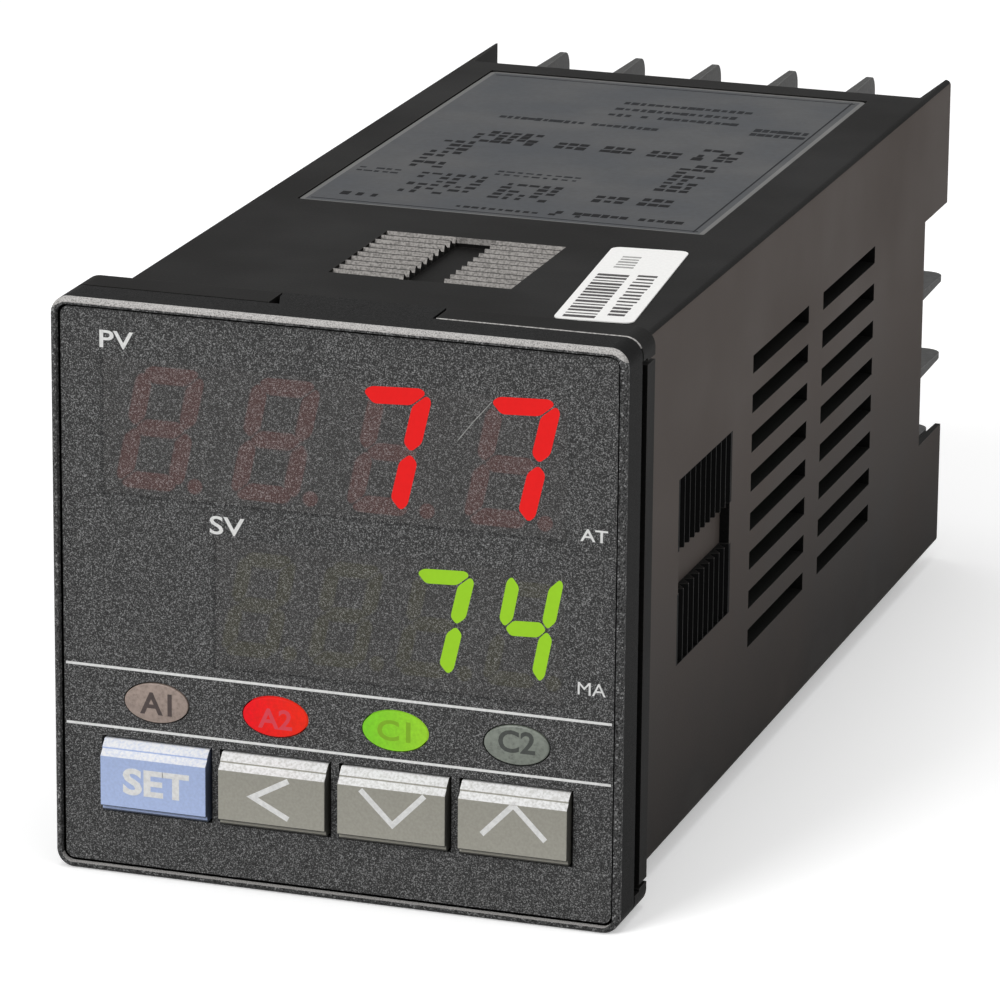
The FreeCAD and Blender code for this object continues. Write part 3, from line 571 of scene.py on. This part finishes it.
def softened(node, width, name, body, wanted, sink=0.0):
    form = bmesh.new()
    form.from_mesh(nodes[node].data)
    bmesh.ops.remove_doubles(form, verts=form.verts, dist=1e-6)
    bmesh.ops.dissolve_limit(form, angle_limit=math.radians(3), verts=form.verts, edges=form.edges)
    picked = [edge for edge in form.edges if len(edge.link_faces) == 2 and wanted(edge)]
    bevel = {"offset": width * mm, "segments": 3, "profile": 0.5, "affect": "EDGES", "clamp_overlap": True}
    bmesh.ops.bevel(form, geom=picked, **bevel)
    front = min(vertex.co.y for vertex in form.verts)
    for vertex in form.verts:
        if vertex.co.y < front + 1e-6:
            vertex.co.y += sink * mm
    bmesh.ops.recalc_face_normals(form, faces=form.faces)
    mesh = bpy.data.meshes.new(name)
    form.to_mesh(mesh)
    form.free()
    made = finishShape(name, mesh, nodeFinish[node], body, 30)
    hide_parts(node)
    return made


def finishShape(name, mesh, finish, body, sharpFrom):
    mesh.polygons.foreach_set("use_smooth", [True] * len(mesh.polygons))
    mesh.set_sharp_from_angle(angle=math.radians(sharpFrom))
    made = showObject(name, mesh)
    coat(made, finish)
    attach(made, body)
    return made


def isSharp(edge):
    return edge.calc_face_angle(0) > math.radians(35)


def isUpright(edge):  # a corner of a bar as it is seen from the front
    run = (edge.verts[0].co - edge.verts[1].co).normalized()
    return abs(run.y) > 0.99 and edge.calc_face_angle(0) > math.radians(22)


def bringForward(figures, prefix):  # the light reaches the face of the sheet and spreads there
    low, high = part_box(f"{prefix}_lit_bars")
    middle = (low + high) / 2
    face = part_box("front_sheet")[0].y
    for place, (shift, rise, wider, taller) in enumerate(litShape[prefix]):
        chosen = [vertex for vertex in figures.data.vertices if (vertex.co.x > middle.x) == bool(place)]
        start, bottom = (min(vertex.co[axis] for vertex in chosen) for axis in (0, 2))
        for vertex in chosen:
            side = 1 if vertex.co.y > middle.y else -1
            across = (vertex.co.x - start) * wider
            upward = (vertex.co.z - bottom) * taller + across * litShape["lean"]
            vertex.co.x = start + across + shift * mm
            vertex.co.y = face + side * litShape["proud"] * mm
            vertex.co.z = bottom + upward + rise * mm


for name in keyNames:
    softened(name + "_key", moulded["keyEdge"], name + "KeyCap", name + "_button", isSharp, moulded["sink"])
for name in lensNames:
    softened(name + "_lens", moulded["lensEdge"], name + "Window", root, isSharp)
for prefix in ("pv", "sv"):
    softened(f"{prefix}_dark_bars", moulded["barCorner"], prefix + "DarkFigures", root, isUpright)
    figures = softened(f"{prefix}_lit_bars", moulded["barCorner"], prefix + "LitFigures", root, isUpright)
    bringForward(figures, prefix)
print("keys, lenses, figures")


# Printed marks

ink = {"lift": 0.006, "depth": 0.02, "stroke": 0.46, "lensBold": 0.02, "keyBold": 0.034}


def inkSlab(form, outline, level):  # a thin slab facing the front, from (x, z) corners in millimetres
    area = sum(a[0] * b[1] - b[0] * a[1] for a, b in zip(outline, outline[1:] + outline[:1]))
    corners = outline if area > 0 else outline[::-1]
    levels = (level - ink["lift"] * mm, level + ink["depth"] * mm)
    front, back = [[form.verts.new((x * mm, y, z * mm)) for x, z in corners] for y in levels]
    form.faces.new(front)
    form.faces.new(back[::-1])
    for index in range(len(corners)):
        after = (index + 1) % len(corners)
        form.faces.new((front[after], front[index], back[index], back[after]))


def strokeOutline(points, width):  # the outline of a line of even width with mitred bends
    half = width / 2
    path = [Vector(point) for point in points]
    runs = [(b - a).normalized() for a, b in zip(path, path[1:])]
    sides = [Vector((-run.y, run.x)) for run in runs]
    offsets = [sides[0] * half]
    for first, second in zip(sides, sides[1:]):
        offsets.append((first + second) * half / (1 + first.dot(second)))
    offsets.append(sides[-1] * half)
    left = [tuple(point + offset) for point, offset in zip(path, offsets)]
    right = [tuple(point - offset) for point, offset in zip(path, offsets)]
    return left + right[::-1]


def inkWords(form, words, place, level, bold):  # letters fitted into a box of the front, in millimetres
    curve = bpy.data.curves.new("words", "FONT")
    curve.body = words
    curve.offset = bold
    curve.extrude = 0.05
    curve.resolution_u = 4
    holder = showObject("words", curve)
    letters = plainMesh(holder)
    bpy.data.objects.remove(holder)
    spots = [vertex.co.copy() for vertex in letters.vertices]
    low = [min(spot[axis] for spot in spots) for axis in range(3)]
    high = [max(spot[axis] for spot in spots) for axis in range(3)]
    for vertex in letters.vertices:
        across, upward, forward = [(spot - a) / (b - a) for spot, a, b in zip(vertex.co, low, high)]
        vertex.co.x = (place[0] + across * (place[2] - place[0])) * mm
        vertex.co.z = (place[1] + upward * (place[3] - place[1])) * mm
        vertex.co.y = level + (ink["depth"] - forward * (ink["depth"] + ink["lift"])) * mm
    form.from_mesh(letters)
    bpy.data.meshes.remove(letters)


def finishInk(form, name, finish, body):
    bmesh.ops.remove_doubles(form, verts=form.verts, dist=1e-7)
    bmesh.ops.recalc_face_normals(form, faces=form.faces)
    mesh = bpy.data.meshes.new(name)
    form.to_mesh(mesh)
    form.free()
    finishShape(name, mesh, finish, body, 20)


sheetInk = {
    "words": [("PV", (-19.87, 44.05, -17.0, 45.5), 0.012), ("SV", (-10.6, 29.57, -7.65, 31.1), 0.012),
              ("AT", (20.25, 32.25, 22.5, 33.25), 0.012), ("MA", (20.2, 19.65, 22.5, 20.7), 0.0)],
    "lines": [17.45, 12.4],
    "lineWidth": 0.22,
    "lineEnds": (-23.05, 23.05),
}
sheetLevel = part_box("front_sheet")[0].y
form = bmesh.new()
for words, place, bold in sheetInk["words"]:
    inkWords(form, words, place, sheetLevel, bold)
finishInk(form, "sheetLetters", "whiteInk", root)
form = bmesh.new()
for level in sheetInk["lines"]:
    ends = [(sheetInk["lineEnds"][0], level), (sheetInk["lineEnds"][1], level)]
    inkSlab(form, strokeOutline(ends, sheetInk["lineWidth"]), sheetLevel)
finishInk(form, "sheetLines", "whiteInk", root)

wear = {
    "scratch": [(10.15, 39.4), (11.4, 41.0), (12.88, 42.73)],
    "width": 0.07,
    "speck": [(22.5, 42.71), (22.64, 42.61), (22.77, 42.73), (22.64, 42.83)],
}
form = bmesh.new()
inkSlab(form, strokeOutline(wear["scratch"], wear["width"]), sheetLevel)
inkSlab(form, wear["speck"], sheetLevel)
finishInk(form, "sheetScratch", "paleInk", root)

lensInk = {
    "alarm_1": ("A1", (-16.62, 13.87, -13.88, 15.74), "brownInk"),
    "alarm_2": ("A2", (-6.5, 13.85, -3.6, 15.55), "pinkInk"),
    "control_1": ("C1", (3.6, 14.0, 6.4, 15.75), "leafInk"),
    "control_2": ("C2", (13.72, 14.2, 16.8, 16.08), "slateInk"),
}
for name, (words, place, finish) in lensInk.items():
    form = bmesh.new()
    inkWords(form, words, place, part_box(name + "_lens")[0].y, ink["lensBold"])
    finishInk(form, name + "Letters", finish, root)

keyInk = {
    "shift": [(-3.62, 9.89), (-6.68, 8.2), (-3.62, 6.66)],
    "down": [(2.49, 9.93), (5.2, 7.25), (7.88, 10.0)],
    "up": [(12.69, 7.43), (15.3, 10.15), (17.99, 7.46)],
}
setPlace = (-17.82, 7.1, -12.1, 9.4)
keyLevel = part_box("set_key")[0].y + moulded["sink"] * mm
form = bmesh.new()
inkWords(form, "SET", setPlace, keyLevel, ink["keyBold"])
finishInk(form, "setWord", "whiteInk", "set_button")
for name, points in keyInk.items():
    form = bmesh.new()
    inkSlab(form, strokeOutline(points, ink["stroke"]), keyLevel)
    finishInk(form, name + "Sign", "whiteInk", name + "_button")
print("front print")


# Print on the label and the sticker

rowInputs = [("Columns", "Int"), ("Rows", "Int"), ("Width", "Float"), ("Length", "Float"),
             ("Bar Size", "Vector"), ("Least", "Vector"), ("Keep", "Float"), ("Seed", "Int"),
             ("Material", "Material")]


def printRecipe():  # rows of thin bars, some left out, each shortened at random
    recipe = Recipe("printRows", rowInputs)
    grid = recipe.node("GeometryNodeMeshGrid", sockets={
        "Size X": recipe.want("Width"), "Size Y": recipe.want("Length"),
        "Vertices X": recipe.want("Columns"), "Vertices Y": recipe.want("Rows")})
    kept = recipe.node("FunctionNodeRandomValue", {"data_type": "BOOLEAN"},
                       {6: recipe.want("Keep"), 8: recipe.want("Seed")}, output=3)
    scale = recipe.node("FunctionNodeRandomValue", {"data_type": "FLOAT_VECTOR"},
                        {0: recipe.want("Least"), 1: (1.0, 1.0, 1.0), 8: recipe.want("Seed") + 1.0})
    bar = recipe.node("GeometryNodeMeshCube", sockets={"Size": recipe.want("Bar Size")})
    recipe.close(recipe.node("GeometryNodeInstanceOnPoints", sockets={
        "Points": grid, "Selection": kept, "Instance": bar, "Scale": scale}))
    return recipe


def printRows(recipe, name, facts, middle, turn, finish):
    columns, rows, width, length, barSize, least, keep, seed = facts
    made = recipe.grow(name, bpy.data.meshes.new(name), {
        "Columns": columns, "Rows": rows, "Width": width * mm, "Length": length * mm,
        "Bar Size": (barSize[0] * mm, barSize[1] * mm, ink["depth"] * mm), "Least": least + (1.0,),
        "Keep": keep, "Seed": seed, "Material": finishes[finish]})
    made.data.transform(Matrix.Translation(middle) @ Matrix.Rotation(math.radians(turn), 4, "Z"))
    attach(made, root)


# columns, rows, width, length, bar size, least scale, share kept, seed; then the middle of the block
labelBlocks = [
    ((16, 1, 11.4, 0.1, (0.66, 0.7), (0.5, 0.6), 0.9, 3), (18.5, 2.5), "darkInk"),
    ((14, 1, 10.6, 0.1, (0.74, 1.1), (0.6, 0.6), 0.92, 6), (27.6, 3.4), "darkInk"),
    ((3, 1, 2.6, 0.1, (0.8, 1.2), (0.6, 0.8), 1.0, 5), (4.3, 3.6), "darkInk"),
    ((6, 6, 5.4, 6.6, (1.0, 0.95), (0.4, 0.5), 0.74, 7), (9.8, 9.5), "darkInk"),
    ((5, 5, 4.4, 4.8, (1.0, 0.9), (0.4, 0.5), 0.74, 11), (17.5, 9.0), "darkInk"),
    ((3, 2, 2.0, 1.4, (1.0, 1.1), (0.6, 0.6), 0.95, 13), (25.0, 9.1), "darkInk"),
    ((3, 2, 2.0, 1.6, (1.0, 1.2), (0.6, 0.6), 0.95, 17), (29.0, 9.4), "darkInk"),
    ((9, 2, 7.0, 1.1, (0.8, 0.5), (0.4, 0.6), 0.85, 19), (16.6, 15.0), "faintInk"),
    ((5, 2, 3.2, 1.1, (0.8, 0.5), (0.4, 0.6), 0.85, 23), (2.9, 12.4), "faintInk"),
    ((3, 8, 2.2, 9.2, (1.0, 1.0), (0.5, 0.5), 0.8, 29), (29.0, 18.6), "darkInk"),
    ((3, 8, 2.2, 9.6, (1.0, 1.0), (0.5, 0.5), 0.8, 31), (6.2, 20.0), "darkInk"),
    ((6, 4, 5.2, 3.4, (1.0, 1.1), (0.5, 0.6), 0.82, 37), (9.6, 27.6), "darkInk"),
    ((3, 2, 2.0, 1.3, (1.0, 1.1), (0.6, 0.6), 0.95, 41), (16.0, 26.6), "darkInk"),
    ((3, 2, 2.0, 1.3, (1.0, 1.1), (0.6, 0.6), 0.95, 43), (20.3, 26.6), "darkInk"),
    ((3, 2, 2.0, 1.3, (1.0, 1.1), (0.6, 0.6), 0.95, 47), (24.6, 26.4), "darkInk"),
    ((4, 4, 2.9, 3.4, (1.0, 1.1), (0.5, 0.6), 0.85, 53), (29.2, 27.6), "darkInk"),
    ((12, 1, 7.4, 0.1, (0.7, 1.1), (0.5, 0.6), 0.95, 59), (10.4, 35.4), "faintInk"),
    ((9, 1, 5.6, 0.1, (0.7, 1.1), (0.5, 0.6), 0.95, 61), (18.2, 35.3), "faintInk"),
    ((16, 3, 11.5, 4.8, (0.75, 1.1), (0.5, 0.6), 0.9, 67), (21.4, 42.0), "faintInk"),
    ((7, 2, 4.4, 1.6, (0.75, 1.2), (0.6, 0.7), 0.95, 71), (32.0, 37.4), "faintInk"),
    ((36, 1, 33.5, 0.1, (0.97, 0.16), (1.0, 1.0), 1.0, 73), (18.0, 1.15), "faintInk"),
    ((36, 1, 33.5, 0.1, (0.97, 0.16), (1.0, 1.0), 1.0, 79), (18.0, 51.2), "faintInk"),
    ((1, 50, 0.1, 49.6, (0.16, 1.02), (1.0, 1.0), 1.0, 80), (34.9, 26.2), "faintInk"),
]
labelLow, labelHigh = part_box("wiring_label")
rowsRecipe = printRecipe()
for index, (facts, spot, finish) in enumerate(labelBlocks):
    middle = (labelLow.x + spot[0] * mm, labelLow.y + spot[1] * mm, labelHigh.z)
    printRows(rowsRecipe, f"labelPrint{index + 1}", facts, middle, 0.0, finish)

stickerTurn = 5.5  # degrees
stickerBlocks = [
    ((1, 15, 0.1, 13.2, (2.6, 0.72), (1.0, 0.35), 0.92, 83), (-1.3, -4.1), "barInk"),
    ((1, 5, 0.1, 3.4, (1.7, 0.56), (0.8, 0.6), 1.0, 89), (-1.0, 6.9), "paleInk"),
    ((1, 13, 0.1, 12.4, (1.7, 0.7), (0.8, 0.5), 0.95, 97), (1.5, -3.4), "barInk"),
]
stickerLow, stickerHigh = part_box("white_sticker")
for index, (facts, spot, finish) in enumerate(stickerBlocks):
    offset = Matrix.Rotation(math.radians(stickerTurn), 3, "Z") @ Vector((spot[0] * mm, spot[1] * mm, 0.0))
    middle = (stickerLow + stickerHigh) / 2 + offset
    middle.z = stickerHigh.z
    printRows(rowsRecipe, f"stickerPrint{index + 1}", facts, middle, stickerTurn, finish)
print("label and sticker print")


# Terminal screws

screw = {
    "headRadius": 2.4, "headHeight": 1.8, "footShare": 0.94, "footRise": 0.12,
    "domeFrom": 0.95, "domePower": 0.55,
    "crossWidth": 0.7, "crossReach": 1.45, "crossDepth": 1.05, "crossTaper": 0.55,
    "washerThick": 1.0, "washerEdge": 0.15, "turnSeed": 5,
}


def boxForm(low, high):
    form = bmesh.new()
    bmesh.ops.create_cube(form, size=1.0)
    for vertex in form.verts:
        vertex.co = [(a + b) / 2 * mm + part * (b - a) * mm for part, a, b in zip(vertex.co, low, high)]
    return form


def meshOf(form, name):
    bmesh.ops.recalc_face_normals(form, faces=form.faces)
    mesh = bpy.data.meshes.new(name)
    form.to_mesh(mesh)
    form.free()
    return mesh


def screwHead():  # a pan head with a cross recess, standing on y = 0
    radius, height, shoulder = screw["headRadius"], screw["headHeight"], screw["domeFrom"]
    foot = radius * screw["footShare"]
    profile = [(0.0, 0.0), (foot, 0.0), (radius, screw["footRise"]), (radius, shoulder)]
    for step in range(1, 6):
        turn = math.radians(step * 15)
        wide = radius * math.cos(turn) ** screw["domePower"]
        profile.append((wide, shoulder + (height - shoulder) * math.sin(turn)))
    profile.append((0.0, height))
    form = bmesh.new()
    line = [form.verts.new((r * mm, y * mm, 0.0)) for r, y in profile]
    ends = [form.edges.new(pair) for pair in zip(line, line[1:])]
    bmesh.ops.spin(form, geom=line + ends, cent=(0, 0, 0), axis=(0, 1, 0), angle=math.tau, steps=40)
    bmesh.ops.remove_doubles(form, verts=form.verts, dist=1e-6)
    head = showObject("screwHead", meshOf(form, "screwHead"))
    cutters = []
    reach, half = screw["crossReach"], screw["crossWidth"] / 2
    for wide, deep in ((reach, half), (half, reach)):
        form = boxForm((-wide, height - screw["crossDepth"], -deep), (wide, height + 1.0, deep))
        for vertex in form.verts:
            if vertex.co.y < height * mm:
                vertex.co.x *= screw["crossTaper"]
                vertex.co.z *= screw["crossTaper"]
        cutter = showObject("recess", meshOf(form, "recess"))
        modifier = head.modifiers.new("recess", "BOOLEAN")
        modifier.object = cutter
        modifier.solver = "EXACT"
        cutters.append(cutter)
    made = plainMesh(head)
    for thing in cutters + [head]:
        bpy.data.objects.remove(thing)
    return showObject("screwHead", made)


def squareWasher(size):
    form = boxForm((-size / 2, 0.0, -size / 2), (size / 2, screw["washerThick"], size / 2))
    edge = screw["washerEdge"] * mm
    bmesh.ops.bevel(form, geom=form.edges[:], offset=edge, segments=2, profile=0.5, affect="EDGES")
    return showObject("squareWasher", meshOf(form, "squareWasher"))


def screwRecipe():
    recipe = Recipe("terminalScrews", [("Head", "Object"), ("Washer", "Object"), ("Washer Thick", "Float"),
                                       ("Turn Seed", "Int"), ("Material", "Material")])
    points = recipe.want("Geometry")
    turn = recipe.node("FunctionNodeRandomValue", {"data_type": "FLOAT_VECTOR"},
                       {0: (0.0, 0.0, 0.0), 1: (0.0, math.pi, 0.0), 8: recipe.want("Turn Seed")})
    parts = []
    for label in ("Head", "Washer"):
        sockets = {"Object": recipe.want(label)}
        parts.append(recipe.node("GeometryNodeObjectInfo", sockets=sockets, output="Geometry"))
    head, washer = parts
    lift = recipe.node("ShaderNodeCombineXYZ", sockets={"Y": recipe.want("Washer Thick")})
    raised = recipe.node("GeometryNodeSetPosition", sockets={"Geometry": points, "Offset": lift})
    heads = recipe.node("GeometryNodeInstanceOnPoints", sockets={
        "Points": raised, "Instance": head, "Rotation": turn})
    washers = recipe.node("GeometryNodeInstanceOnPoints", sockets={"Points": points, "Instance": washer})
    recipe.close(recipe.node("GeometryNodeJoinGeometry", sockets={"Geometry": [washers, heads]}))
    return recipe


def loosePieces(node):  # the boxes of the separate solids of a node
    form = bmesh.new()
    form.from_mesh(nodes[node].data)
    bmesh.ops.remove_doubles(form, verts=form.verts, dist=1e-6)
    unseen = set(form.verts)
    boxes = []
    while unseen:
        found = [unseen.pop()]
        for vertex in found:
            for edge in vertex.link_edges:
                other = edge.other_vert(vertex)
                if other in unseen:
                    unseen.remove(other)
                    found.append(other)
        spots = [vertex.co for vertex in found]
        corners = [[pick(spot[axis] for spot in spots) for axis in range(3)] for pick in (min, max)]
        boxes.append([Vector(corner) for corner in corners])
    form.free()
    return sorted(boxes, key=lambda pair: tuple(round(value, 5) for value in pair[0]))


screwBoxes = loosePieces("terminal_screws")
washerSize = (screwBoxes[0][1].x - screwBoxes[0][0].x) / mm
stand = screw["headHeight"] + screw["washerThick"]
start = bpy.data.meshes.new("screwPlaces")
middles = [(low + high) / 2 for low, high in screwBoxes]
seats = [(middle.x, high.y - stand * mm, middle.z) for middle, (low, high) in zip(middles, screwBoxes)]
start.from_pydata(seats, [], [])
head = screwHead()
washer = squareWasher(washerSize)
screws = screwRecipe().grow("terminalScrews", start, {
    "Head": head, "Washer": washer, "Washer Thick": screw["washerThick"] * mm,
    "Turn Seed": screw["turnSeed"], "Material": finishes["platedSteel"]})
for thing in (head, washer):
    bpy.data.objects.remove(thing)
screws.data.polygons.foreach_set("use_smooth", [True] * len(screws.data.polygons))
screws.data.set_sharp_from_angle(angle=math.radians(35))
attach(screws, root)
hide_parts("terminal_screws")
print("terminal screws", len(screwBoxes))


# Camera

camera = {
    "place": (0.15683, -0.488055, 0.17318),
    "target": (-0.00363, 0.0, 0.01820),
    "roll": 0.551,
    "lens": 221.06,
    "sensor": 36.0,
}


def placeCamera():
    data = bpy.data.cameras.new("camera")
    data.lens = camera["lens"]
    data.sensor_width = camera["sensor"]
    data.clip_start = 0.01
    made = showObject("camera", data)
    towards = Vector(camera["target"]) - Vector(camera["place"])
    aim = towards.to_track_quat("-Z", "Y").to_matrix()
    roll = Matrix.Rotation(math.radians(camera["roll"]), 3, "Z")
    made.matrix_world = Matrix.Translation(camera["place"]) @ (aim @ roll).to_4x4()
    bpy.context.scene.camera = made


# Studio

studio = {
    "ambient": 0.4,
    "main": {"place": (-0.33, -0.72, 0.55), "size": 0.4, "power": 4.6},
    "overhead": {"place": (-0.05, 0.0, 1.0), "size": 0.6, "power": 2.4},
    "side": {"place": (0.8, -0.1, 0.55), "size": 0.5, "power": 2.2},
    "floorTone": 0.4,
    "floorGlow": 0.25,
    "floorSize": 8.0,
}


def placeLamp(name, facts):
    data = bpy.data.lights.new(name, "AREA")
    data.size = facts["size"]
    data.energy = facts["power"]
    made = showObject(name, data)
    place = Vector(facts["place"])
    turn = (Vector((0, 0, 0.02)) - place).to_track_quat("-Z", "Y").to_matrix().to_4x4()
    made.matrix_world = Matrix.Translation(place) @ turn


def seenDirectly(plan):  # 1 for camera, glossy and transmission rays
    path = plan.node("ShaderNodeLightPath")
    rays = path.socket.node.outputs
    direct = Wire(plan, rays["Is Camera Ray"])
    glossy = Wire(plan, rays["Is Glossy Ray"])
    through = Wire(plan, rays["Is Transmission Ray"])
    total = direct + glossy + through
    return total.maths("MINIMUM", total, 1.0)


def lightStudio():
    world = bpy.data.worlds.new("studio")
    bpy.context.scene.world = world
    world.use_nodes = True
    plan = Plan(world.node_tree)
    world.node_tree.nodes.clear()
    seen = seenDirectly(plan)
    strength = seen * (1.0 - studio["ambient"]) + studio["ambient"]
    background = plan.node("ShaderNodeBackground", sockets={"Color": grey(1.0), "Strength": strength})
    plan.node("ShaderNodeOutputWorld", sockets={"Surface": background})
    for name in ("main", "overhead", "side"):
        placeLamp(name, studio[name])


def layFloor():
    half = studio["floorSize"] / 2
    mesh = bpy.data.meshes.new("floor")
    level = cadBox[0].z
    corners = [(-half, -half, level), (half, -half, level), (half, half, level), (-half, half, level)]
    mesh.from_pydata(corners, [], [(0, 1, 2, 3)])
    floor = showObject("floor", mesh)
    paint = Paint("paleFloor")
    seen = seenDirectly(paint)
    mesh.materials.append(paint.finish({
        "Base Color": paint.mix(seen, grey(studio["floorTone"]), grey(1.0)),
        "Roughness": 0.9,
        "Specular IOR Level": 0.0,
        "Emission Color": paint.mix(seen, grey(0.0), grey(1.0)),
        "Emission Strength": studio["floorGlow"],
    }))


placeCamera()
lightStudio()
layFloor()
print("studio")

scene = bpy.context.scene
scene.view_settings.view_transform = "Standard"
